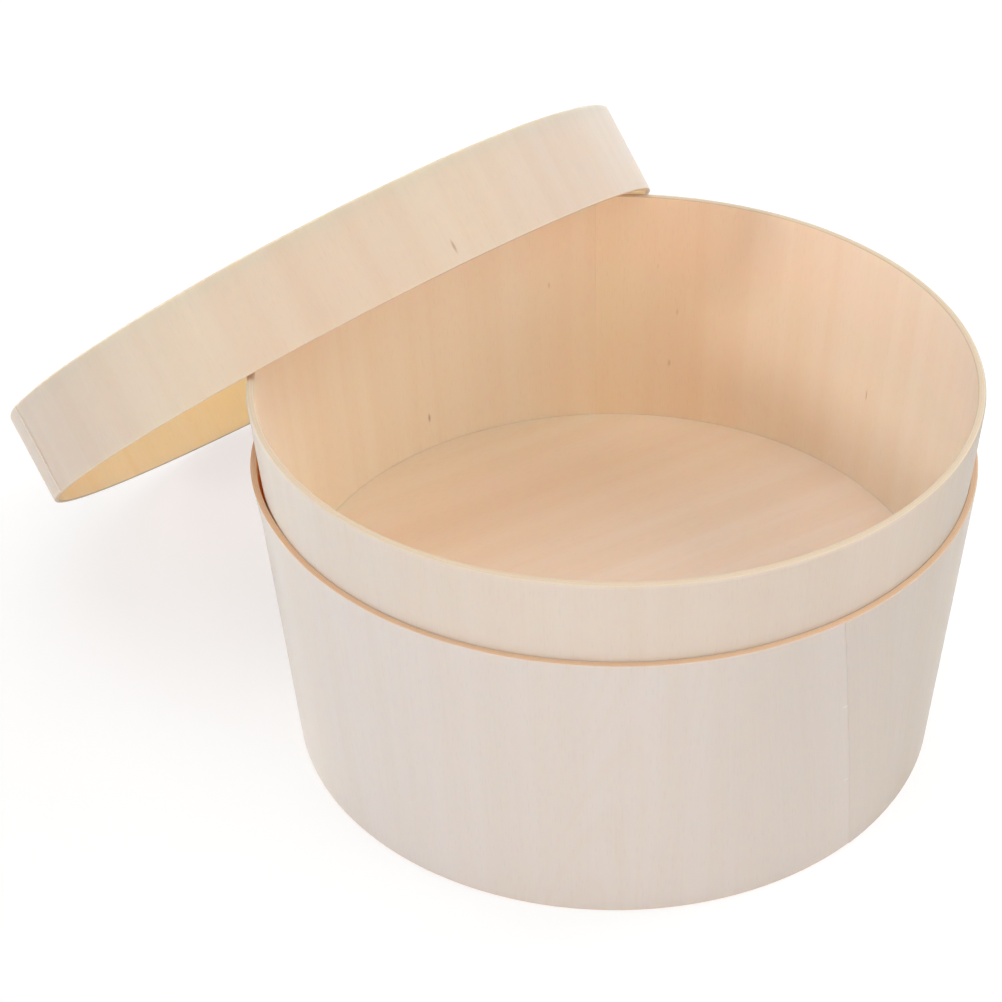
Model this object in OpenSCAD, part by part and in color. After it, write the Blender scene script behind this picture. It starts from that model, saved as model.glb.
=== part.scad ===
// Round cake box of bent veneer: a tub with leaning walls, a raised floor and a collar,
// and a lift-off lid that stands beside it and leans over its rim. Units: millimetres.
// The origin is the middle of the tub at table level.

/* [Tub] */
// Outer diameter of the collar at its rim
rim_d = 200; // [180:1:240]
// Height of the rim above the table
rim_h = 114; // [106:0.5:130]
// Height of the outer band, up to the shoulder
band_h = 89.5; // [70:0.5:98]
// Height of the floor's upper face above the table
floor_h = 38.8; // [20:0.2:60]
// Lean of the walls from upright, in degrees
wall_lean = 4.6; // [1:0.1:6]

/* [Veneer] */
// Thickness of the outer band
band_t = 1.4; // [1:0.1:2]
// Thickness of the collar
collar_t = 2.2; // [1.6:0.1:3]
// Thickness of the foot hoop under the floor
foot_t = 2.2; // [1.6:0.1:4]
// Thickness of the floor
floor_t = 3; // [2:0.1:5]
// Depth of the rebate round the floor's edge that the collar stands in
floor_rebate = 0.8; // [0.4:0.1:1.5]
// Length of the lap where the two ends of a strip are glued
lap_l = 26; // [16:1:40]
// Step at the end of a lap
lap_step = 0.5; // [0.3:0.05:0.8]

/* [Lid] */
// Height of the lid's band
lid_h = 28.4; // [22:0.1:36]
// Thickness of the lid's band
lid_t = 1.4; // [1:0.1:2.2]
// Thickness of the lid's disc
lid_disc_t = 3; // [2:0.1:5]
// Tilt of the standing lid from level, in degrees
lid_tilt = 42.3; // [38:0.1:46]
// Side of the tub that the lid leans on, in degrees from the right, anticlockwise
lid_side = 134; // [90:1:180]

/* [Fits] */
// Gap all round between the collar and the outer band
collar_gap = 0.5; // [0.2:0.1:0.8]
// Gap all round between the closed lid and the rim
lid_gap = 1.5; // [0.8:0.1:2.5]
// Glue line at the edge of a disc
glue_gap = 0.1; // [0.05:0.05:0.2]
// Clearance of the standing lid from the rim and the table
seat_gap = 0.3; // [0.2:0.05:0.5]

/* [Laps] */
// Direction of the outer band's lap end, in degrees from the right
band_lap_at = -50; // [-90:1:0]
// Direction of the collar's lap end
collar_lap_at = 93; // [60:1:150]
// Direction of the foot hoop's lap end
foot_lap_at = 200; // [180:1:270]
// Direction of the lid's lap end, from the lid's lowest point
lid_lap_at = 80; // [60:1:120]

/* [Hidden] */
$fn = 180;

wood = [0.90, 0.80, 0.69];
wood_warm = [0.89, 0.73, 0.57];
wood_floor = [0.87, 0.71, 0.56];

lean = tan(wall_lean);
rim_r = rim_d / 2;
floor_under = floor_h - floor_t;
collar_foot = floor_h - floor_rebate;

lid_inner_r = rim_r + lid_gap;
lid_outer_r = lid_inner_r + lid_t;
lid_depth = lid_h - lid_disc_t;

// The lid stands on the table with its lowest edge, so its tilt sets the height of its mouth's centre.
lid_z = lid_outer_r * sin(lid_tilt) + seat_gap;
// From the mouth's centre up the slope to the level of the rim
rim_slope = (rim_h + seat_gap - lid_z) / sin(lid_tilt);
// Distance from the tub's axis at which the mouth's inner edge comes to rest on the rim at two points
lid_out_edge = sqrt(rim_slope ^ 2 - lid_inner_r ^ 2 + (rim_r + seat_gap) ^ 2) + rim_slope * cos(lid_tilt);
// Distance from the tub's axis at which the disc comes to rest on the rim
lid_out_disc = rim_r + ((rim_h - lid_z) * cos(lid_tilt) - lid_depth + seat_gap) / sin(lid_tilt);
// The lid slides in until the first of the two touches.
lid_out = max(lid_out_edge, lid_out_disc);

// Radius of the collar's outer face at height z
function collar_r(z) = rim_r - (rim_h - z) * lean;
// Radius of the outer band's inner face at height z
function band_r(z) = collar_r(z) + collar_gap;

// The floor's upper face ends inside the collar, clear of the collar's lap.
floor_face_r = collar_r(collar_foot) - collar_t - lap_step - glue_gap;

// A ring between two heights, given its inner radii and its thickness
module ring(z0, z1, r0, r1, t) {
    rotate_extrude()
        polygon([[r0, z0], [r0 + t, z0], [r1 + t, z1], [r1, z1]]);
}

// A wedge of space, from the z axis outwards, that ends at the direction at
module wedge(at, angle, reach, z0, z1) {
    translate([0, 0, z0])
        linear_extrude(z1 - z0)
            polygon([[0, 0], reach * [cos(at - angle), sin(at - angle)], reach * [cos(at), sin(at)]]);
}

// A bent strip whose ends lap: the face on the lap's side, +1 outside or -1 inside, swells up to a step
module hoop(z0, z1, r0, r1, t, lap_at, lap_side) {
    lap_angle = lap_l / r1 * 180 / PI;
    shift = lap_side * lap_step / sin(lap_angle);
    shift_at = lap_at - lap_angle + 90;
    inset = lap_side > 0 ? t / 2 : 0;
    ring(z0, z1, r0, r1, t);
    intersection() {
        translate(shift * [cos(shift_at), sin(shift_at), 0])
            ring(z0, z1, r0 + inset, r1 + inset, t / 2);
        wedge(lap_at, lap_angle, 2 * r1, z0, z1);
    }
}

// Moves the lid from upright at the origin to where it stands
module lid_place() {
    rotate([0, 0, lid_side])
        translate([lid_out, 0, lid_z])
            rotate([0, lid_tilt, 0])
                children();
}

module outer_band() {
    color(wood)
        hoop(0, band_h, band_r(0), band_r(band_h), band_t, band_lap_at, 1);
}

module collar() {
    color(wood_warm)
        hoop(collar_foot, rim_h, collar_r(collar_foot) - collar_t, rim_r - collar_t, collar_t,
             collar_lap_at, -1);
}

// A disc whose edge follows the leaning wall, with a rebate for the collar
module floor_disc() {
    color(wood_floor)
        rotate_extrude()
            polygon([
                [0, floor_under],
                [band_r(floor_under) - glue_gap, floor_under],
                [band_r(collar_foot) - glue_gap, collar_foot],
                [floor_face_r, collar_foot],
                [floor_face_r, floor_h],
                [0, floor_h]
            ]);
}

module foot_hoop() {
    color(wood_warm)
        hoop(0, floor_under, collar_r(0) - foot_t, collar_r(floor_under) - foot_t, foot_t, foot_lap_at, -1);
}

module lid_band() {
    color(wood)
        lid_place()
            hoop(0, lid_h, lid_inner_r, lid_inner_r, lid_t, lid_lap_at, 1);
}

module lid_disc() {
    color(wood)
        lid_place()
            translate([0, 0, lid_depth])
                cylinder(h = lid_disc_t, r = lid_inner_r - glue_gap);
}

outer_band();
collar();
floor_disc();
foot_hoop();
lid_band();
lid_disc();
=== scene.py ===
# Looks of a round cake box of bent veneer: softened strips, boards, bare wood, soft light and camera.
# Lengths are metres and angles are degrees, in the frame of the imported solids. Phases are radians.
import math

import bpy
import numpy as np
from mathutils import Matrix, Vector


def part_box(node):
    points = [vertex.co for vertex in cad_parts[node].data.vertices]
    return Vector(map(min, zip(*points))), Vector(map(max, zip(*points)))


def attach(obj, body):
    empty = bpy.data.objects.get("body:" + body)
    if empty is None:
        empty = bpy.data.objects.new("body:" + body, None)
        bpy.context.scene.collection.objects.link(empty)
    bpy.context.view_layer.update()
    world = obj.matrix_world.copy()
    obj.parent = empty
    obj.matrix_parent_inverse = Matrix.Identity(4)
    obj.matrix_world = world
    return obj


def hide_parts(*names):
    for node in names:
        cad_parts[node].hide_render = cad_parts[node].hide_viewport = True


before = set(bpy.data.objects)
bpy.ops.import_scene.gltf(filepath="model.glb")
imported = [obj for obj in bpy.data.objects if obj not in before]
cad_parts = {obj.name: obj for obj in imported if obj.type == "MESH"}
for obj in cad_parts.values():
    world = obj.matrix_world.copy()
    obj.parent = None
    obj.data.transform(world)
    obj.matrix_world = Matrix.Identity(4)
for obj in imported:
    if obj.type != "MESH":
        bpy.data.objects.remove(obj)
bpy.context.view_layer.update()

# Sizes that the frame gives
band_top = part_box("outer_band")[1]
collar_foot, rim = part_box("collar")
floor_under, floor_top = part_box("floor_disc")
lid_disc_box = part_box("lid_disc")
BAND_TOP_R = band_top.x
RIM_R = rim.x

# Sizes of the veneer, and the angle and the slope by which the tub's wall leans out
WALL_ANGLE = 4.6
WALL_LEAN = math.tan(math.radians(WALL_ANGLE))
BAND_T = 0.0014
# The outer band is thicker inwards than its solid by this much, so that it lies against the collar
BAND_FILL = 0.00045
COLLAR_T = 0.0022
FOOT_T = 0.0022
GLUE_GAP = 0.0001

# Softening of the edges of a strip, at its inner and its outer face
BAND_SOFT = (0.0001, 0.0005)
COLLAR_SOFT = (0.0004, 0.0011)
FOOT_SOFT = (0.0004, 0.0004)
LID_SOFT = (0.0003, 0.0004)

# Sizes of the floor: the face runs just into the collar, and the edge leans
FLOOR_FACE_R = 0.0919
FLOOR_REBATE = 0.0008
FLOOR_EDGE_LEAN = 0.00018
FLOOR_SOFT = 0.00015
FLOOR_CHAMFER = 0.0001

# Sizes and place of the lid
LID_TILT = 42.3
LID_SIDE = 134.0
LID_H = 0.0284
LID_T = 0.0014
LID_DISC_T = 0.003
LID_OUTER_R = 0.1029
LID_BOARD_SOFT = 0.0003
LID_BOARD_SOFT_UNDER = 0.00008

# Directions of the lap ends, measured from +X, and from the lid's lowest point for the lid
BAND_LAP = -50.5
COLLAR_LAP = 93.0
FOOT_LAP = 200.0
LID_LAP = 80.0

# Laps: the length of the rise, the step at the end, the turn-in of the step's face along the strip,
# and the length of that face on the UV map
LAP_LENGTH = 0.026
BAND_LAP_STEP = 0.00012
COLLAR_LAP_STEP = -0.00012
FOOT_LAP_STEP = -0.0004
LID_LAP_STEP = 0.0004
LAP_DROP = 0.00012
LAP_FACE = 0.0001

# Slant of the outer band's lap in degrees of turn per metre of height: it is full within the first turn
# from the lap and fades out over the second
BAND_SLANT = -106.0
SLANT_FULL = 6.0
SLANT_FADE = 24.0

# Bow of the outer band's lip away from the collar: direction, half width, amount, steepness up the wall
BAND_BOW = {"at": 188.0, "width": 23.0, "by": 0.0009, "power": 30.0}

# Unevenness of the hoops, as amounts by number of waves: of the radius, and of the upper edge
RADIUS_WAVES = {2: 0.00007, 3: 0.00005, 5: 0.00003}
EDGE_WAVES = {3: 0.00005, 7: 0.00003, 19: 0.00002}
EDGE_WAVE_FROM = 0.6
EDGE_WAVE_SHIFT = 1.3

# Boards: direction of the grain, and how far the rim of a board is cupped
FLOOR_GRAIN_AT = 33.0
LID_GRAIN_AT = 20.0
BOARD_CUP = 0.00012

# Mesh density
SECTIONS = 300
LAP_SECTIONS = np.array([0.0, 0.05, 0.15, 0.4, 0.8, 1.4])
LAP_CLEAR = 2.2
ROWS = 9
ARC_STEPS = 4
SUPPORT = 0.00015
BOARD_SIDES = 256
BOARD_RINGS = 8
BOARD_HUB_R = 0.015
SHARP_ANGLE = 32.0
UV_NAME = "strip"

# Parts of a piece in the order of its materials: inner or lower face, outer or upper face, edge
INNER, OUTER, EDGE = 0, 1, 2


# Mesh building

def lerp_smooth(t):
    """Smooth step from 0 to 1."""
    t = np.clip(t, 0.0, 1.0)
    return t * t * (3.0 - 2.0 * t)


def arc(centre, radius, start, end):
    """Points of a circular arc, its first point left out."""
    angles = np.radians(np.linspace(start, end, ARC_STEPS + 1))[1:]
    return [(centre[0] + radius * math.cos(a), centre[1] + radius * math.sin(a)) for a in angles]


def row_heights(height, soft):
    """Heights of the rows of a strip's face, closer at its edges."""
    return [soft, *np.linspace(soft + SUPPORT, height - soft - SUPPORT, ROWS), height - soft]


def strip_outline(height, thick, soft_in, soft_out):
    """Cross-section of a strip with softened edges: points (across, up), inner face first,
    and for each side of the outline its part of the strip."""
    ups_in = row_heights(height, soft_in)
    ups_out = row_heights(height, soft_out)
    middle = (soft_in + thick - soft_out) / 2
    runs = [
        (INNER, [(0.0, up) for up in ups_in]),
        (EDGE, arc((soft_in, height - soft_in), soft_in, 180, 90)),
        (EDGE, [(middle, height), (thick - soft_out, height)]),
        (EDGE, arc((thick - soft_out, height - soft_out), soft_out, 90, 45)),
        (OUTER, arc((thick - soft_out, height - soft_out), soft_out, 45, 0)),
        (OUTER, [(thick, up) for up in reversed(ups_out[:-1])]),
        (EDGE, arc((thick - soft_out, soft_out), soft_out, 0, -90)),
        (EDGE, [(middle, 0.0), (soft_in, 0.0)]),
        (EDGE, arc((soft_in, soft_in), soft_in, -90, -180)),
    ]
    points = [point for _, run in runs for point in run]
    parts = [part for part, run in runs for _ in run]
    return np.array(points[:-1]), parts[1:]


def lap_angles(drop):
    """Turns along a strip, from just past its lap end to the lap end again, closer at both ends."""
    middle = np.linspace(LAP_CLEAR, 360.0 - LAP_CLEAR, SECTIONS)
    return np.concatenate([LAP_SECTIONS + drop, middle, 360.0 - LAP_SECTIONS[::-1]])


def make_object(name, points, faces, uvs, slots, materials):
    """A smooth mesh object with one UV map, and sharp edges where faces meet steeply."""
    mesh = bpy.data.meshes.new(name)
    mesh.from_pydata(points.tolist(), [], faces)
    layer = mesh.uv_layers.new(name=UV_NAME)
    layer.data.foreach_set("uv", np.asarray(uvs, dtype=np.float32).ravel())
    for material in materials:
        mesh.materials.append(material)
    mesh.polygons.foreach_set("material_index", slots)
    mesh.polygons.foreach_set("use_smooth", np.ones(len(faces), dtype=bool))
    mesh.set_sharp_from_angle(angle=math.radians(SHARP_ANGLE))
    mesh.update()
    piece = bpy.data.objects.new(name, mesh)
    bpy.context.scene.collection.objects.link(piece)
    return piece


def ripple(turn, amounts, phase):
    """A slow uneven wave round a hoop: amounts by number of waves."""
    angle = np.radians(turn)
    return sum(a * np.sin(k * angle + phase * (k + 1.0)) for k, a in amounts.items())


def hoop(name, base, height, top_r, thick, soft, lap_at, lap_step, materials,
         lean=WALL_LEAN, way=1, slant=0.0, bow=None, phase=0.0, place=Matrix.Identity(4)):
    """A bent strip whose ends lap, with a step outwards, or inwards if below 0.
    It runs anticlockwise from its lap end, or clockwise if way is -1.
    materials are for its inner face, its outer face and its edges."""
    outline, parts = strip_outline(height, thick, *soft)
    across, up = outline[:, 0], outline[:, 1]
    turn = lap_angles(math.degrees(LAP_DROP / top_r))[:, None]
    lap_turn = math.degrees(LAP_LENGTH / top_r)
    swell = lap_step * lerp_smooth((turn - 360.0 + lap_turn) / lap_turn)
    share = across / thick
    offset = swell * (share if lap_step > 0 else 1.0 - share)
    near_lap = 1.0 - lerp_smooth((np.minimum(turn, 360.0 - turn) - SLANT_FULL) / SLANT_FADE)
    lean_turn = near_lap * slant * (up - height / 2)
    azimuth = lap_at + way * turn
    angle = np.radians(azimuth + lean_turn)
    radius = top_r - thick - (height - up) * lean + across + offset
    radius = radius + ripple(azimuth, RADIUS_WAVES, phase)
    if bow:
        away = np.abs((azimuth - bow["at"] + 180.0) % 360.0 - 180.0)
        reach = lerp_smooth(1.0 - away / bow["width"])
        radius = radius + bow["by"] * reach * (up / height) ** bow["power"]
    rise = ripple(azimuth, EDGE_WAVES, phase + EDGE_WAVE_SHIFT)
    z = base + up + rise * lerp_smooth((up / height - EDGE_WAVE_FROM) / (1.0 - EDGE_WAVE_FROM))
    local = np.stack([radius * np.cos(angle), radius * np.sin(angle), z + 0 * turn], axis=-1)
    return sweep(name, local, turn[:, 0], way, outline, parts, top_r, materials, place)


def sweep(name, local, turn, way, outline, parts, top_r, materials, place):
    """Joins the sections of a hoop into one closed mesh with its UV map:
    metres along the strip, and metres up a face or across an edge."""
    sections, count = local.shape[:2]
    points = np.array([place @ Vector(p) for p in local.reshape(-1, 3)])
    distance = np.radians(turn) * top_r
    faces, uvs, slots = [], [], []
    for i in range(sections):
        j = (i + 1) % sections
        u0 = distance[i]
        u1 = distance[j] if j else distance[i] + LAP_FACE
        for k in range(count):
            m = (k + 1) % count
            side = 0 if parts[k] == EDGE else 1
            v0, v1 = outline[k][side], outline[m][side]
            faces.append((i * count + k, i * count + m, j * count + m, j * count + k)[::way])
            uvs += [(u0, v0), (u0, v1), (u1, v1), (u1, v0)][::way]
            slots.append(parts[k])
    return make_object(name, points, faces, uvs, slots, materials)


def turned_board(name, outline, grain_at, edge_rings, materials, phase=0.0, place=Matrix.Identity(4)):
    """A round board from an outline (radius, height) that starts and ends on the axis.
    materials are for its lower face, its upper face and its edge, which lies between two rings."""
    rings = np.array(outline[1:-1])
    ring_r, ring_z = rings[:, 0], rings[:, 1]
    angle = np.linspace(0.0, 2 * math.pi, BOARD_SIDES, endpoint=False)[:, None]
    cup = BOARD_CUP * np.sin(2 * angle + phase) * (ring_r / ring_r.max()) ** 2
    local = np.stack([ring_r * np.cos(angle), ring_r * np.sin(angle), ring_z + cup], axis=-1)
    flat = [*local.reshape(-1, 3), (0.0, 0.0, outline[0][1]), (0.0, 0.0, outline[-1][1])]
    points = np.array([place @ Vector(p) for p in flat])
    n = len(rings)
    low, high = BOARD_SIDES * n, BOARD_SIDES * n + 1
    faces, slots = [], []
    for i in range(BOARD_SIDES):
        j = (i + 1) % BOARD_SIDES
        faces.append((low, j * n, i * n))
        faces.append((high, i * n + n - 1, j * n + n - 1))
        slots += [INNER, OUTER]
        for k in range(n - 1):
            faces.append((i * n + k, j * n + k, j * n + k + 1, i * n + k + 1))
            slots.append(INNER if k < edge_rings[0] else EDGE if k < edge_rings[1] else OUTER)
    turn = math.radians(grain_at - 90.0)
    cross = np.array([math.cos(turn), math.sin(turn)])
    grain = np.array([-math.sin(turn), math.cos(turn)])
    uvs = [(np.dot(flat[p][:2], cross), np.dot(flat[p][:2], grain)) for f in faces for p in f]
    return make_object(name, points, faces, uvs, slots, materials)


# Shader helpers

def srgb(red, green, blue):
    """A colour given as 8-bit sRGB, as linear values with alpha."""
    def linear(c):
        c = c / 255.0
        return c / 12.92 if c <= 0.04045 else ((c + 0.055) / 1.055) ** 2.4
    return (linear(red), linear(green), linear(blue), 1.0)


def tinted(colour, tint):
    """A colour multiplied by a tint."""
    return tuple(c * t for c, t in zip(colour, (*tint, 1.0)))


# Numbers of the sockets that a mix node uses for colours
MIX_FACTOR, MIX_A, MIX_B = 0, 6, 7
MIX_RESULT = 2


class Shader:
    """Adds nodes to a new material and links them."""

    def __init__(self, name):
        self.material = bpy.data.materials.new(name)
        self.material.use_nodes = True
        self.tree = self.material.node_tree
        self.tree.nodes.clear()

    def add(self, kind, inputs=None, **settings):
        """A new node with its settings and its inputs."""
        node = self.tree.nodes.new(kind)
        for key, value in settings.items():
            setattr(node, key, value)
        for key, value in (inputs or {}).items():
            self.feed(node.inputs[key], value)
        return node

    def feed(self, socket, value):
        """Links an output to a socket, or sets the socket's own value."""
        if isinstance(value, bpy.types.NodeSocket):
            self.tree.links.new(value, socket)
        else:
            socket.default_value = value

    def uv(self):
        """The place on the piece's UV map."""
        return self.add("ShaderNodeUVMap", uv_map=UV_NAME).outputs["UV"]

    def parts(self, vector):
        """The three parts of a vector."""
        return self.add("ShaderNodeSeparateXYZ", {0: vector}).outputs

    def vector(self, operation, a, b):
        """A sum, difference or product of two vectors."""
        return self.add("ShaderNodeVectorMath", {0: a, 1: b}, operation=operation).outputs[0]

    def length(self, a):
        """The length of a vector."""
        return self.add("ShaderNodeVectorMath", {0: a}, operation="LENGTH").outputs["Value"]

    def math(self, operation, a, b=0.5):
        """The result of a sum on one or two values."""
        return self.add("ShaderNodeMath", {0: a, 1: b}, operation=operation).outputs[0]

    def noise(self, place, scale, detail=2.0, distortion=0.0):
        """Noise that is stretched along the fibres."""
        stretched = self.vector("MULTIPLY", place, (*scale, 1.0))
        values = {"Vector": stretched, "Scale": 1.0, "Detail": detail, "Distortion": distortion}
        return self.add("ShaderNodeTexNoise", values, noise_dimensions="2D").outputs[0]

    def ramp(self, value, low, high, to_low=0.0, to_high=1.0):
        """A smooth step from one value to another."""
        limits = {"From Min": low, "From Max": high, "To Min": to_low, "To Max": to_high}
        values = {"Value": value, **limits}
        return self.add("ShaderNodeMapRange", values, interpolation_type="SMOOTHSTEP").outputs[0]

    def mix(self, factor, a, b, blend="MIX"):
        """A mix of two colours."""
        settings = {"data_type": "RGBA", "blend_type": blend}
        values = {MIX_FACTOR: factor, MIX_A: a, MIX_B: b}
        return self.add("ShaderNodeMix", values, **settings).outputs[MIX_RESULT]

    def finish(self, surface):
        """Ends the material with its surface."""
        self.add("ShaderNodeOutputMaterial", {"Surface": surface})
        return self.material


# Wood

# Bare veneer lets some light in: the share that does, and its depth in millimetres by colour
GLOW = 0.5
GLOW_DEPTH = (1.5, 0.85, 0.45)
THIN_GLOW = 1.0
THIN_GLOW_DEPTH = (4.0, 2.7, 1.6)
LID_IN_DEPTH = (9.0, 5.5, 3.6)
BAND_BACK_DEPTH = (10.0, 4.5, 2.0)
EDGE_GLOW = 0.15
MILLIMETRE = 0.001

# Grain: features per metre across and along the fibres
BAND_GRAIN = (120.0, 2.6)
MOTTLE_GRAIN = (42.0, 17.0)
FIBRE_GRAIN = (1500.0, 34.0)
WANDER_GRAIN = (30.0, 14.0)
VESSEL_GRAIN = (1250.0, 150.0)
SPECK_GRAIN = (2600.0, 2600.0)
LAYER_GRAIN = (60.0, 400.0)

# Noise: detail of the bands and fibres, and how far the bands are warped
FINE_DETAIL = 3.0
BAND_WARP = 0.3

# Values between which each feature sets in or fades out
BAND_SPAN = (0.3, 0.72)
MOTTLE_SPAN = (0.45, 0.85)
FIBRE_SPAN = (0.52, 0.9)
VESSEL_SPAN = (0.10, 0.24)
VESSEL_CHANCE = (0.45, 0.75)
FLECK_SPAN = (0.1, 1.0)
RING_SPAN = (-0.2, 1.0)
ARCH_SPAN = (0.5, 2.2)
LAYER_SPAN = (-0.6, 1.0)
SPECK_SPAN = (0.55, 0.85)
ROUGH_SPAN = (0.2, 0.8)

# How strongly each feature takes on its darker colour
MOTTLE_SHARE = 0.3
ARCH_SHARE = 0.32
FIBRE_SHARE = 0.17
VESSEL_SHARE = 0.055
LAYER_SHARE = 0.55
SPECK_SHARE = 0.45

# The darker colours: tints of the deep colour, and the colour of vessels and flecks
WARM_TINT = (1.0, 0.97, 0.92)
FIBRE_TINT = (0.92, 0.87, 0.80)
SPECK_TINT = (0.84, 0.76, 0.66)
VESSEL_COLOUR = srgb(150, 112, 84)

# Arches: their lean, how far they wander and how close they follow each other
ARCH_LEAN = 0.22
ARCH_WANDER = 0.9
ARCH_PACE = 11.0

# Surface: roughness from and to, sheen, and depth and strength of the relief
WOOD_ROUGH = (0.50, 0.64)
WOOD_SHINE = 0.4
WOOD_RELIEF = (0.00006, 0.35)
VESSEL_RELIEF = 0.5
EDGE_ROUGH = (0.58, 0.74)
EDGE_SHINE = 0.35
EDGE_RELIEF = (0.00008, 0.4)
LAYER_WOBBLE = 0.0003


def pores(s, place):
    """Short dark vessel marks along the fibres, in some of the cells only."""
    cells = s.vector("MULTIPLY", place, (*VESSEL_GRAIN, 1.0))
    cell = s.add("ShaderNodeTexVoronoi", {"Vector": cells, "Scale": 1.0}, voronoi_dimensions="2D")
    mark = s.ramp(cell.outputs["Distance"], *VESSEL_SPAN, 1.0, 0.0)
    chance = s.add("ShaderNodeSeparateColor", {"Color": cell.outputs["Color"]}).outputs[0]
    return s.math("MULTIPLY", mark, s.ramp(chance, *VESSEL_CHANCE))


def fleck_and_highlight_marks(s, uv, flecks_and_highlights):
    """Small spindle-shaped marks at given places, fleck marks in the wood and painted highlights: (along,
    up, width, length, strength).
    """
    total = None
    for u, v, width, length, strength in flecks_and_highlights:
        away = s.vector("SUBTRACT", uv, (u, v, 0.0))
        scaled = s.vector("MULTIPLY", away, (2.0 / width, 2.0 / length, 0.0))
        mark = s.ramp(s.length(scaled), *FLECK_SPAN, strength, 0.0)
        total = mark if total is None else s.math("MAXIMUM", total, mark)
    return total


def arches(s, uv, place, at):
    """Nested arches of early and late wood round one line along the fibres: 0 to 1."""
    u, v, width, length = at
    away = s.parts(s.vector("SUBTRACT", uv, (u, v, 0.0)))
    wander = s.noise(place, WANDER_GRAIN)
    tilt = s.math("MULTIPLY", away[1], ARCH_LEAN)
    side = s.math("DIVIDE", s.math("ADD", away[0], tilt), width)
    rise = s.math("DIVIDE", away[1], length)
    field = s.math("ADD", s.math("MULTIPLY", side, side), rise)
    field = s.math("ADD", field, s.math("MULTIPLY", wander, ARCH_WANDER))
    rings = s.math("SINE", s.math("MULTIPLY", field, ARCH_PACE))
    near = s.ramp(s.math("ABSOLUTE", side), *ARCH_SPAN, 1.0, 0.0)
    return s.math("MULTIPLY", s.ramp(rings, *RING_SPAN), near)


def tones_and_painted_light(s, uv, colour, tone_and_light_stops):
    """Slow change of tint along a piece, partly the wood's own tone and partly painted light and shade:
    (distance along it, tint).
    """
    distance = s.parts(uv)[0]
    tint = (*tone_and_light_stops[0][1], 1.0)
    for (start, _), (end, tint_end) in zip(tone_and_light_stops, tone_and_light_stops[1:]):
        tint = s.mix(s.ramp(distance, start, end), tint, (*tint_end, 1.0))
    return s.mix(1.0, colour, tint, "MULTIPLY")


def bare_surface(s, colour, roughness, shine, glow, depth, height, relief):
    """The finished material of bare wood from its colour, roughness and height."""
    reach, strength = relief
    bump = s.add("ShaderNodeBump", {"Strength": strength, "Distance": reach, "Height": height})
    values = {
        "Base Color": colour,
        "Roughness": roughness,
        "Specular IOR Level": shine,
        "Subsurface Weight": glow,
        "Subsurface Radius": depth,
        "Subsurface Scale": MILLIMETRE,
        "Normal": bump.outputs[0],
    }
    return s.finish(s.add("ShaderNodeBsdfPrincipled", values).outputs[0])


def wood(name, pale, deep, drift, flecks_and_highlights=(), fleck_and_highlight_colour=VESSEL_COLOUR, arch_at=None, tone_and_light_stops=(),
         glow=GLOW, depth=GLOW_DEPTH):
    """Bare sanded veneer or board: bands of colour, fibres, vessel marks, fleck marks and painted
    highlights, and slow tints that are partly painted light and shade.
    drift moves the pattern, so that no two pieces are alike."""
    s = Shader(name)
    uv = s.uv()
    place = s.vector("ADD", uv, (*drift, 0.0))
    bands = s.noise(place, BAND_GRAIN, FINE_DETAIL, BAND_WARP)
    mottle = s.noise(place, MOTTLE_GRAIN)
    fibre = s.noise(place, FIBRE_GRAIN, FINE_DETAIL)
    vessel = pores(s, place)
    warm, dark = tinted(deep, WARM_TINT), tinted(deep, FIBRE_TINT)
    colour = s.mix(s.ramp(bands, *BAND_SPAN), pale, deep)
    colour = s.mix(s.ramp(mottle, *MOTTLE_SPAN, 0.0, MOTTLE_SHARE), colour, warm)
    if arch_at:
        colour = s.mix(s.math("MULTIPLY", arches(s, uv, place, arch_at), ARCH_SHARE), colour, warm)
    colour = s.mix(s.ramp(fibre, *FIBRE_SPAN, 0.0, FIBRE_SHARE), colour, dark)
    colour = s.mix(s.math("MULTIPLY", vessel, VESSEL_SHARE), colour, VESSEL_COLOUR)
    # Tints along the piece: partly the wood's own tone, partly painted light and shade
    if tone_and_light_stops:
        colour = tones_and_painted_light(s, uv, colour, tone_and_light_stops)
    if flecks_and_highlights:
        colour = s.mix(fleck_and_highlight_marks(s, uv, flecks_and_highlights), colour, fleck_and_highlight_colour)
    height = s.math("SUBTRACT", fibre, s.math("MULTIPLY", vessel, VESSEL_RELIEF))
    roughness = s.ramp(fibre, *ROUGH_SPAN, *WOOD_ROUGH)
    return bare_surface(s, colour, roughness, WOOD_SHINE, glow, depth, height, WOOD_RELIEF)


def cut_edge(name, pale, deep, layers, tone_and_light_stops=()):
    """The sawn edge of a strip: end grain with faint layers along it, so many per metre."""
    s = Shader(name)
    uv = s.uv()
    speck = s.noise(uv, SPECK_GRAIN)
    wobble = s.math("MULTIPLY", s.noise(uv, LAYER_GRAIN), LAYER_WOBBLE)
    across = s.math("ADD", s.parts(uv)[1], wobble)
    wave = s.math("SINE", s.math("MULTIPLY", across, layers * 2 * math.pi))
    layer = s.ramp(wave, *LAYER_SPAN)
    colour = s.mix(s.math("MULTIPLY", layer, LAYER_SHARE), pale, deep)
    colour = s.mix(s.ramp(speck, *SPECK_SPAN, 0.0, SPECK_SHARE), colour, tinted(deep, SPECK_TINT))
    # Tints along the edge: partly the wood's own tone, partly painted light and shade
    if tone_and_light_stops:
        colour = tones_and_painted_light(s, uv, colour, tone_and_light_stops)
    roughness = s.ramp(speck, *ROUGH_SPAN, *EDGE_ROUGH)
    return bare_surface(s, colour, roughness, EDGE_SHINE, EDGE_GLOW, GLOW_DEPTH, speck, EDGE_RELIEF)


# Places of marks, painted highlights and tints; the tints are partly painted light and shade

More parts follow.
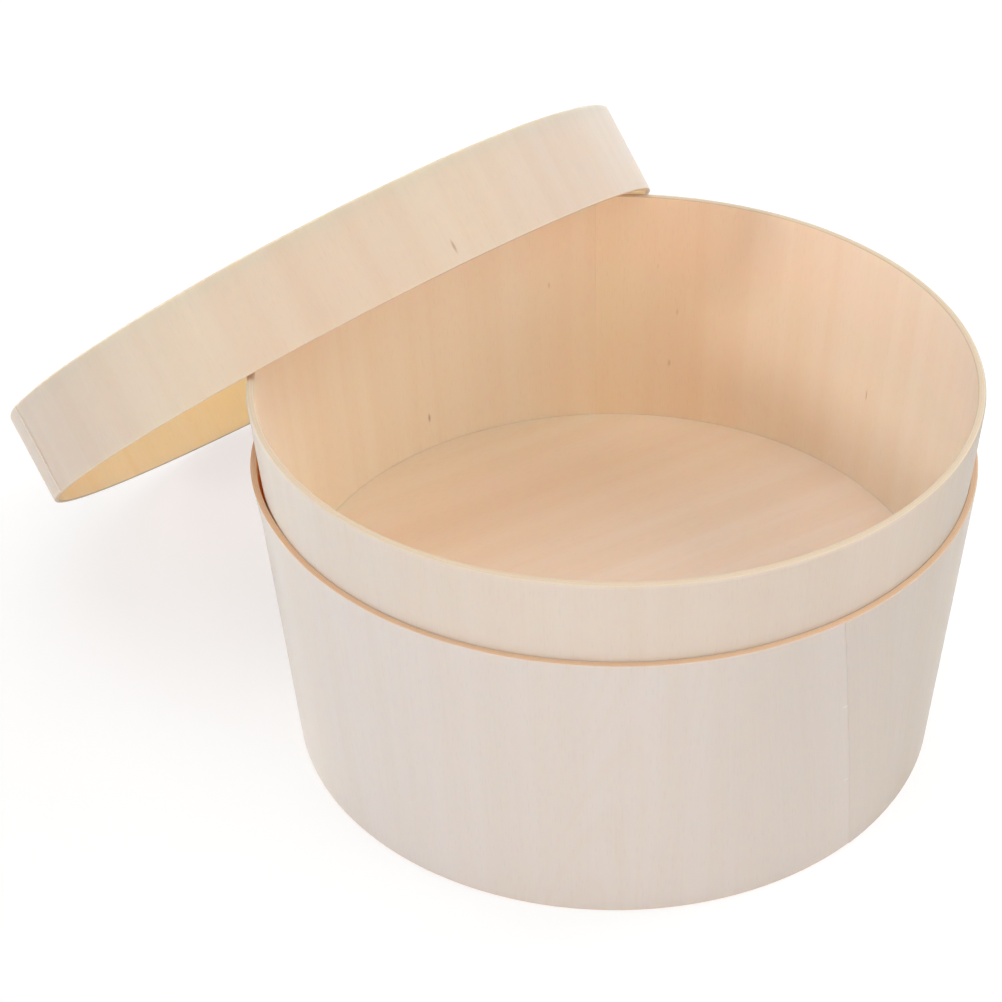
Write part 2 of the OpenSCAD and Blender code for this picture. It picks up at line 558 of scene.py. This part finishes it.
def along(azimuth, lap_at, top_r, way=1):
    """Distance along a strip from its lap end to a direction."""
    return math.radians((way * (azimuth - lap_at)) % 360.0) * top_r


def band_along(azimuth):
    """Distance along the outer band."""
    return along(azimuth, BAND_LAP, BAND_TOP_R, -1)


def collar_along(azimuth):
    """Distance along the collar."""
    return along(azimuth, COLLAR_LAP, RIM_R)


def lid_along(azimuth):
    """Distance along the lid's band."""
    return along(azimuth, LID_LAP, LID_OUTER_R)


# Arches on the outer band: distance along it, height, width and length
BAND_ARCH = (band_along(-90.0), 0.045, 0.014, 0.05)

# Marks: painted highlights on the outer band by its lap, and fleck marks in the wood; distance along the
# strip, height above its lower edge, width, length, strength
LAP_HIGHLIGHTS = [
    (0.0011, 0.0579, 0.0034, 0.0009, 0.35),
    (0.0011, 0.0285, 0.0030, 0.0009, 0.35),
]
COLLAR_FLECKS = [
    (collar_along(127.8), 0.0112, 0.0013, 0.0042, 0.6),
    (collar_along(101.8), 0.0470, 0.0012, 0.0030, 0.25),
    (collar_along(81.5), 0.0530, 0.0010, 0.0026, 0.12),
    (collar_along(77.6), 0.0380, 0.0013, 0.0034, 0.22),
    (collar_along(78.8), 0.0200, 0.0013, 0.0036, 0.3),
    (collar_along(36.0), 0.0310, 0.0009, 0.0054, 0.45),
]
LID_FLECKS = [(lid_along(168.9), 0.0053, 0.0013, 0.0058, 0.6)]

# Slow changes of tint along the strips, and across the floor's grain: distance, tint. They are partly the
# wood's own tone and partly painted light and shade. The outer band and the collar's outer face are painted
# lighter on their left and darker on their right, down to about 0.8 and 0.7 of plain. The insides, the
# floor, the lid and the band's edge are painted lighter and darker where the light on them differs.
PLAIN = (1.0, 1.0, 1.0)
FRONT_EDGE = (0.93, 0.98, 1.04)
BAND_TONE_AND_LIGHT = [
    (band_along(BAND_LAP), (0.926, 0.90, 0.872)),
    (band_along(-90.0), (0.965, 0.94, 0.92)),
    (band_along(-140.0), PLAIN),
    (band_along(-160.0), (1.09, 1.12, 1.12)),
    (band_along(150.0), PLAIN),
    (band_along(40.0), PLAIN),
    (band_along(-5.0), (0.845, 0.86, 0.845)),
    (band_along(-30.0), (0.81, 0.78, 0.725)),
    (band_along(-50.4), (0.888, 0.859, 0.825)),
]
BAND_EDGE_TONE_AND_LIGHT = [
    (band_along(-115.0), FRONT_EDGE),
    (band_along(-155.0), PLAIN),
    (band_along(40.0), PLAIN),
    (band_along(-10.0), FRONT_EDGE),
]
COLLAR_OUT_TONE_AND_LIGHT = [
    (collar_along(175.0), PLAIN),
    (collar_along(203.0), (1.06, 1.08, 1.08)),
    (collar_along(217.0), (1.005, 1.02, 1.025)),
    (collar_along(255.0), (1.005, 0.98, 0.95)),
    (collar_along(-85.0), (0.995, 0.955, 0.91)),
    (collar_along(-55.0), (0.972, 0.93, 0.885)),
    (collar_along(-10.0), (0.705, 0.705, 0.675)),
    (collar_along(35.0), (1.0, 0.98, 0.96)),
]
COLLAR_IN_TONE_AND_LIGHT = [
    (collar_along(94.0), (1.0, 0.925, 0.85)),
    (collar_along(110.0), (1.0, 0.972, 0.955)),
    (collar_along(138.0), (1.0, 0.978, 0.96)),
    (collar_along(157.0), (0.965, 0.94, 0.90)),
    (collar_along(200.0), PLAIN),
    (collar_along(10.0), (1.0, 1.02, 1.09)),
    (collar_along(34.0), (0.99, 0.972, 0.995)),
    (collar_along(56.0), (0.92, 0.885, 0.858)),
    (collar_along(76.0), (0.95, 0.86, 0.768)),
    (collar_along(91.0), (1.0, 0.915, 0.815)),
]
FLOOR_TONE_AND_LIGHT = [
    (-0.085, (1.06, 1.10, 1.12)),
    (-0.045, (0.895, 0.885, 0.86)),
    (-0.02, (0.895, 0.91, 0.945)),
    (0.012, (0.96, 0.99, 1.075)),
]
LID_TONE_AND_LIGHT = [
    (lid_along(LID_LAP), (0.875, 0.877, 0.872)),
    (lid_along(128.0), (1.0, 0.982, 0.92)),
    (lid_along(150.0), (0.977, 0.955, 0.885)),
    (lid_along(172.0), (0.968, 0.963, 0.895)),
    (lid_along(196.0), (0.91, 0.90, 0.865)),
    (lid_along(216.0), (0.94, 0.98, 1.0)),
    (lid_along(250.0), PLAIN),
    (lid_along(20.0), PLAIN),
    (lid_along(62.0), (0.88, 0.88, 0.89)),
]

# Finishes: pale and deep colour of each kind of wood, some with painted light and shade in them as noted,
# then the materials
OUTSIDE = (srgb(216, 207, 201), srgb(215, 205, 197))
# The outer band's inner face, against the collar, is a deep orange: painted glow, the warm light in the gap
# between band and collar made a colour of the wood
BAND_BACK_GLOW = (srgb(246, 186, 122), srgb(242, 172, 102))
COLLAR_OUTSIDE = (srgb(215, 204, 194), srgb(214, 201, 189))
# The inner faces of the collar and the foot hoop are paler and warmer than the collar's outer face, though
# they are one veneer: the warmth is the wood's, and the paler colour is painted light that makes up for the
# shade inside the tub
INSIDE_TONE_AND_LIGHT = (srgb(254, 238, 217), srgb(252, 234, 211))
FLOOR = (srgb(248, 228, 205), srgb(246, 223, 197))
LID_OUTSIDE = (srgb(216, 204, 191), srgb(214, 200, 185))
# The lid's inner faces are brighter and more orange than its outer faces, though both are one veneer:
# painted glow, for the warm light bounced and passed through the wood inside the lid
LID_INSIDE_GLOW = (srgb(255, 219, 197), srgb(253, 214, 188))
RIM_EDGE = (srgb(224, 206, 181), srgb(217, 196, 166))
LID_EDGE = (srgb(222, 206, 187), srgb(216, 196, 174))
# The outer band's edge is a deeper orange than the rim's edge: end grain, with the shade of the crease
# under the collar painted into it
BAND_EDGE_AND_SHADE = (srgb(232, 194, 158), srgb(222, 178, 138))
BOARD_EDGE = (srgb(232, 206, 176), srgb(222, 190, 154))
# Near-white colour of the painted highlights by the outer band's lap
LAP_HIGHLIGHT_COLOUR = srgb(240, 235, 230)

# Layers per metre on the sawn edges
COLLAR_LAYERS = 1400.0
THIN_LAYERS = 2000.0
BOARD_LAYERS = 1000.0

outer_wood = wood(
    "wood_outer_band", *OUTSIDE, drift=(0.31, 0.07),
    flecks_and_highlights=LAP_HIGHLIGHTS, fleck_and_highlight_colour=LAP_HIGHLIGHT_COLOUR, arch_at=BAND_ARCH, tone_and_light_stops=BAND_TONE_AND_LIGHT)
band_back_glow_wood = wood(
    "wood_band_back_painted_glow", *BAND_BACK_GLOW, drift=(3.30, 1.21), glow=THIN_GLOW, depth=BAND_BACK_DEPTH)
collar_out_wood = wood("wood_collar_outside", *COLLAR_OUTSIDE, drift=(1.70, 0.41), tone_and_light_stops=COLLAR_OUT_TONE_AND_LIGHT)
collar_in_wood = wood(
    "wood_collar_inside", *INSIDE_TONE_AND_LIGHT, drift=(2.10, 0.83), flecks_and_highlights=COLLAR_FLECKS, tone_and_light_stops=COLLAR_IN_TONE_AND_LIGHT)
foot_wood = wood("wood_foot_hoop", *INSIDE_TONE_AND_LIGHT, drift=(3.70, 1.47))
floor_wood = wood("wood_floor", *FLOOR, drift=(7.10, 2.51), tone_and_light_stops=FLOOR_TONE_AND_LIGHT)
lid_out_wood = wood(
    "wood_lid_outside", *LID_OUTSIDE, drift=(4.70, 1.63),
    flecks_and_highlights=LID_FLECKS, tone_and_light_stops=LID_TONE_AND_LIGHT, glow=THIN_GLOW, depth=THIN_GLOW_DEPTH)
lid_in_glow_wood = wood("wood_lid_inside_painted_glow", *LID_INSIDE_GLOW, drift=(5.90, 2.07), glow=THIN_GLOW, depth=LID_IN_DEPTH)
lid_board_wood = wood(
    "wood_lid_board", *LID_OUTSIDE, drift=(8.30, 2.93), glow=THIN_GLOW, depth=THIN_GLOW_DEPTH)
rim_edge = cut_edge("wood_rim_edge", *RIM_EDGE, COLLAR_LAYERS)
lid_edge = cut_edge("wood_lid_edge", *LID_EDGE, THIN_LAYERS)
band_edge_shaded = cut_edge("wood_band_edge_painted_shade", *BAND_EDGE_AND_SHADE, THIN_LAYERS, BAND_EDGE_TONE_AND_LIGHT)
board_edge = cut_edge("wood_board_edge", *BOARD_EDGE, BOARD_LAYERS)


# The tub

def radius_at(z, top_r, top_z):
    """Radius of a leaning wall at height z."""
    return top_r - (top_z - z) * WALL_LEAN


def add_piece(piece, body, node):
    """Ties a piece to its body and hides the solid that it stands for."""
    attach(piece, body)
    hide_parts(node)


outer_band = hoop(
    "outer_band_veneer", 0.0, band_top.z, BAND_TOP_R, BAND_T + BAND_FILL,
    BAND_SOFT, BAND_LAP, BAND_LAP_STEP, [band_back_glow_wood, outer_wood, band_edge_shaded],
    way=-1, slant=BAND_SLANT, bow=BAND_BOW, phase=0.4)
add_piece(outer_band, "tub", "outer_band")

collar = hoop(
    "collar_veneer", collar_foot.z, rim.z - collar_foot.z, RIM_R, COLLAR_T,
    COLLAR_SOFT, COLLAR_LAP, COLLAR_LAP_STEP, [collar_in_wood, collar_out_wood, rim_edge], phase=0.4)
add_piece(collar, "tub", "collar")

foot_top_r = radius_at(floor_under.z, RIM_R, rim.z)
foot_hoop = hoop(
    "foot_hoop_veneer", 0.0, floor_under.z, foot_top_r, FOOT_T,
    FOOT_SOFT, FOOT_LAP, FOOT_LAP_STEP, [foot_wood, foot_wood, rim_edge], phase=2.3)
add_piece(foot_hoop, "tub", "foot_hoop")


def floor_outline():
    """Half section of the floor: under face, leaning edge, rebate and softened upper face.
    Returns its points and the rings between which its edge lies."""
    under_r, top_r = floor_top.x - FLOOR_EDGE_LEAN, floor_top.x
    rebate_z = floor_top.z - FLOOR_REBATE
    face = [(r, floor_under.z) for r in np.linspace(BOARD_HUB_R, under_r - FLOOR_SOFT, BOARD_RINGS)]
    edge = [
        (under_r, floor_under.z + FLOOR_SOFT),
        (top_r, rebate_z - FLOOR_CHAMFER),
        (top_r - FLOOR_CHAMFER, rebate_z),
        (FLOOR_FACE_R + 2 * FLOOR_CHAMFER, rebate_z),
    ]
    top = [(FLOOR_FACE_R, rebate_z + FLOOR_CHAMFER)]
    top += arc((FLOOR_FACE_R - FLOOR_SOFT, floor_top.z - FLOOR_SOFT), FLOOR_SOFT, 0, 90)
    inner_r = FLOOR_FACE_R - 2 * FLOOR_SOFT
    top += [(r, floor_top.z) for r in np.linspace(inner_r, BOARD_HUB_R, BOARD_RINGS)]
    points = [(0.0, floor_under.z), *face, *edge, *top, (0.0, floor_top.z)]
    return points, (len(face), len(face) + len(edge))


floor_points, floor_edge_rings = floor_outline()
floor_disc = turned_board(
    "floor_board", floor_points, FLOOR_GRAIN_AT, floor_edge_rings,
    [foot_wood, floor_wood, board_edge], phase=0.8)
add_piece(floor_disc, "tub", "floor_disc")


# The lid

def lid_matrix():
    """Moves the lid from upright, mouth at the origin, to where it stands."""
    side = Matrix.Rotation(math.radians(LID_SIDE), 4, "Z")
    turned = side @ Matrix.Rotation(math.radians(LID_TILT), 4, "Y")
    disc_centre = (lid_disc_box[0] + lid_disc_box[1]) / 2
    mouth = disc_centre - turned.to_3x3() @ Vector((0.0, 0.0, LID_H - LID_DISC_T / 2))
    return Matrix.Translation(mouth) @ turned


def lid_board_outline():
    """Half section of the lid's disc, with softened edges.
    Returns its points and the rings between which its edge lies."""
    soft, soft_under = LID_BOARD_SOFT, LID_BOARD_SOFT_UNDER
    edge_r = LID_OUTER_R - LID_T - GLUE_GAP
    low, high = LID_H - LID_DISC_T, LID_H
    face_radii = np.linspace(BOARD_HUB_R, edge_r - 2 * soft, BOARD_RINGS)
    face = [(r, low) for r in face_radii]
    edge = [(edge_r - soft_under, low)]
    edge += arc((edge_r - soft_under, low + soft_under), soft_under, -90, 0)
    edge += [(edge_r, high - soft)]
    edge += arc((edge_r - soft, high - soft), soft, 0, 90)
    top = [(r, high) for r in face_radii[::-1]]
    points = [(0.0, low), *face, *edge, *top, (0.0, high)]
    return points, (len(face), len(face) + len(edge))


LID_PLACE = lid_matrix()
lid_band = hoop(
    "lid_band_veneer", 0.0, LID_H, LID_OUTER_R, LID_T,
    LID_SOFT, LID_LAP, LID_LAP_STEP, [lid_in_glow_wood, lid_out_wood, lid_edge],
    lean=0.0, phase=3.1, place=LID_PLACE)
add_piece(lid_band, "lid", "lid_band")

lid_points, lid_edge_rings = lid_board_outline()
lid_disc = turned_board(
    "lid_board", lid_points, LID_GRAIN_AT, lid_edge_rings,
    [lid_in_glow_wood, lid_board_wood, lid_edge], phase=2.2, place=LID_PLACE)
add_piece(lid_disc, "lid", "lid_disc")


# Floor, light and camera

# The studio floor: half its width, the grey that takes the shadow, the white under it, and the bounce
STAGE_HALF = 6.0
STAGE_GREY = 0.42
STAGE_WHITE = 0.62
STAGE_BOUNCE = 0.95
# Distance at which the floor's shading starts to fade, and at which it is plain white
STAGE_FADE = (0.45, 1.2)


def grey(level):
    """A neutral colour."""
    return (level, level, level, 1.0)


def stage_material():
    """White to the camera, with the shadow near the box, and a plain pale floor as it throws light back."""
    s = Shader("studio_floor")
    seen = s.add("ShaderNodeLightPath").outputs["Is Camera Ray"]
    place = s.add("ShaderNodeNewGeometry").outputs["Position"]
    near = s.ramp(s.length(place), *STAGE_FADE, 1.0, 0.0)
    shade = s.mix(seen, grey(STAGE_BOUNCE), s.mix(near, grey(0.0), grey(STAGE_GREY)))
    paint = s.add("ShaderNodeBsdfDiffuse", {"Color": shade}).outputs[0]
    white = s.math("MULTIPLY", seen, s.ramp(near, 0.0, 1.0, 1.0, STAGE_WHITE))
    glow = s.add("ShaderNodeEmission", {"Strength": white}).outputs[0]
    return s.finish(s.add("ShaderNodeAddShader", {0: paint, 1: glow}).outputs[0])


def stage_floor():
    """A wide pale floor."""
    half = STAGE_HALF
    mesh = bpy.data.meshes.new("studio_floor")
    corners = [(-half, -half, 0.0), (half, -half, 0.0), (half, half, 0.0), (-half, half, 0.0)]
    mesh.from_pydata(corners, [], [(0, 1, 2, 3)])
    mesh.materials.append(stage_material())
    floor = bpy.data.objects.new("studio_floor", mesh)
    bpy.context.scene.collection.objects.link(floor)


def surround(strength):
    """White all round: full white to the camera and to reflections, softer as light."""
    world = bpy.data.worlds.new("studio")
    world.use_nodes = True
    bpy.context.scene.world = world
    tree = world.node_tree
    tree.nodes.clear()
    path = tree.nodes.new("ShaderNodeLightPath")
    seen = path.outputs["Is Camera Ray"]
    for kind in ("Is Glossy Ray", "Is Transmission Ray"):
        either = tree.nodes.new("ShaderNodeMath")
        either.operation = "MAXIMUM"
        tree.links.new(seen, either.inputs[0])
        tree.links.new(path.outputs[kind], either.inputs[1])
        seen = either.outputs[0]
    level = tree.nodes.new("ShaderNodeMapRange")
    level.inputs["To Min"].default_value = strength
    level.inputs["To Max"].default_value = 1.0
    tree.links.new(seen, level.inputs["Value"])
    back = tree.nodes.new("ShaderNodeBackground")
    back.inputs["Color"].default_value = (1.0, 1.0, 1.0, 1.0)
    tree.links.new(level.outputs[0], back.inputs["Strength"])
    out = tree.nodes.new("ShaderNodeOutputWorld")
    tree.links.new(back.outputs[0], out.inputs["Surface"])


def softbox(name, azimuth, elevation, size, power):
    """A square lamp that faces the tub from a direction."""
    a, e = math.radians(azimuth), math.radians(elevation)
    away = Vector((math.cos(a) * math.cos(e), math.sin(a) * math.cos(e), math.sin(e)))
    data = bpy.data.lights.new(name, "AREA")
    data.size = size
    data.energy = power
    lamp = bpy.data.objects.new(name, data)
    lamp.location = Vector(LAMP_AIM) + away * LAMP_DISTANCE
    lamp.rotation_mode = "QUATERNION"
    lamp.rotation_quaternion = away.to_track_quat("Z", "Y")
    bpy.context.scene.collection.objects.link(lamp)


# Lamps: name, direction, height in degrees, size, power
LAMPS = [
    ("key_left_front", 216.0, 17.5, 0.18, 5.2),
    ("front_broad", 270.0, 32.0, 1.2, 2.0),
    ("front_low", 274.0, 5.0, 0.6, 4.8),
    ("right_broad", 325.0, 32.0, 1.0, 3.9),
    ("back_right", 25.0, 32.0, 1.0, 9.2),
    ("back_low", 82.0, 10.0, 0.8, 4.5),
    ("back_left_low", 139.0, 4.0, 0.6, 14.0),
    ("top", 270.0, 82.0, 1.2, 8.0),
]
LAMP_AIM = (0.0, 0.0, 0.06)
LAMP_DISTANCE = 1.6
SURROUND_LIGHT = 0.35

stage_floor()
surround(SURROUND_LIGHT)
for lamp in LAMPS:
    softbox(*lamp)

# The camera: focal length and middle of the view in pixels of the square photograph
IMAGE_PX = 1002.0
FOCAL_PX = 2483.9
MIDDLE_PX = 586.0
SENSOR_MM = 36.0
CAMERA_PITCH = 35.056
CAMERA_AT = (-0.00806, -0.57401, 0.47176)

camera_data = bpy.data.cameras.new("camera")
camera_data.sensor_width = SENSOR_MM
camera_data.lens = FOCAL_PX / IMAGE_PX * SENSOR_MM
camera_data.shift_x = 0.5 - MIDDLE_PX / IMAGE_PX
camera = bpy.data.objects.new("camera", camera_data)
camera.location = CAMERA_AT
camera.rotation_euler = (math.radians(90.0 - CAMERA_PITCH), 0.0, 0.0)
bpy.context.scene.collection.objects.link(camera)
bpy.context.scene.camera = camera
bpy.context.scene.view_settings.view_transform = "Standard"
